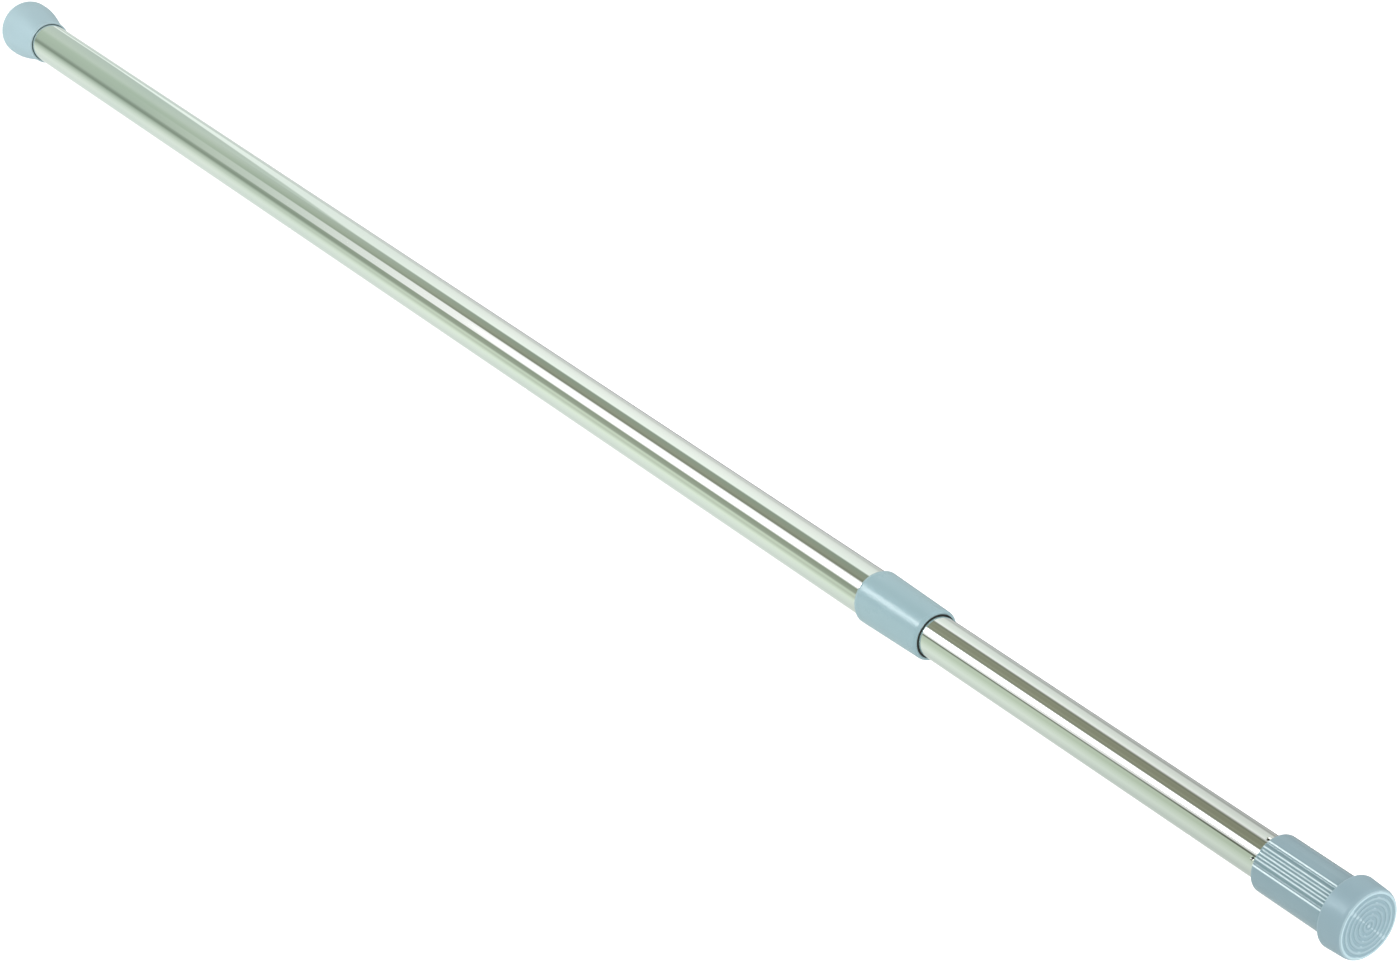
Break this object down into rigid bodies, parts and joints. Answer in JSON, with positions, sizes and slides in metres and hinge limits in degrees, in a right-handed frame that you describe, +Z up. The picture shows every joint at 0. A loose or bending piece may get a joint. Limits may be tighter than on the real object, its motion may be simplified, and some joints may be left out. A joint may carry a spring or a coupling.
{
  "type": "pull up bar",
  "caption": "Telescopic doorway pull up bar: chromed tubes with a twist lock, a fluted grip that screws a swivelling rubber foot outwards, and a flared rubber foot at the other end.",
  "frame": {"origin": "centre of the fixed foot's flat face", "axes": "+X along the bar from the fixed foot to the adjustable foot, +Z up as the bar hangs level in a doorway"},
  "size_m": [1.2938, 0.0372, 0.0372],
  "materials": {
    "chromed_tube": "bright chrome plate",
    "shell_plastic": "satin moulded plastic, pale blue-grey",
    "cup_rubber": "smooth soft blue-grey rubber",
    "foot_rubber": "smooth soft blue-grey rubber",
    "zinc_steel": "zinc plated",
    "white_nylon": "moulded nylon",
    "black_nylon": "moulded nylon"
  },
  "bodies": {
    "outer_tube": {"outer_tube": "chromed_tube", "fixed_foot_cup": "cup_rubber", "fixed_foot_disc": "zinc_steel", "guide_collar": "shell_plastic", "guide_bush": "black_nylon"},
    "lock_sleeve": {"lock_sleeve": "white_nylon"},
    "lock_wedge": {"lock_wedge": "zinc_steel"},
    "inner_tube": {"inner_tube": "chromed_tube", "lock_plug": "zinc_steel", "lock_washer": "zinc_steel", "lock_stud": "zinc_steel", "lock_stop_nut": "zinc_steel", "adjuster_nut": "zinc_steel"},
    "thrust_washer": {"thrust_washer": "white_nylon"},
    "grip": {"grip_sleeve": "shell_plastic", "spindle": "zinc_steel", "spindle_screw": "zinc_steel", "spindle_stop_collar": "zinc_steel", "spindle_stop_pin": "zinc_steel"},
    "foot": {"foot_cap": "foot_rubber", "foot_disc": "zinc_steel"}
  },
  "joints": [
    {"name": "tube_slide", "type": "slide", "parent": "outer_tube", "child": "lock_sleeve", "axis": [1, 0, 0], "range_m": [-0.235, 0.265]},
    {"name": "lock_twist", "type": "hinge", "parent": "lock_sleeve", "child": "inner_tube", "pos_m": [0.5635, 0, 0], "axis": [-1, 0, 0], "range_deg": [0, 270]},
    {"name": "wedge_draw", "type": "slide", "parent": "lock_sleeve", "child": "lock_wedge", "axis": [1, 0, 0], "range_m": [0, 0.00094]},
    {"name": "screw_travel", "type": "slide", "parent": "inner_tube", "child": "thrust_washer", "axis": [1, 0, 0], "range_m": [0, 0.02401]},
    {"name": "grip_turn", "type": "hinge", "parent": "thrust_washer", "child": "grip", "pos_m": [1.2855, 0, 0], "axis": [1, 0, 0], "range_deg": [0, 2880]},
    {"name": "foot_swivel", "type": "hinge", "parent": "thrust_washer", "child": "foot", "pos_m": [1.2871, 0, 0], "axis": [1, 0, 0], "continuous": true}
  ],
  "couplings": [
    {"joint": "wedge_draw", "follows": "lock_twist", "m_per_rad": 0.00019894},
    {"joint": "screw_travel", "follows": "grip_turn", "m_per_rad": 0.00047746}
  ]
}
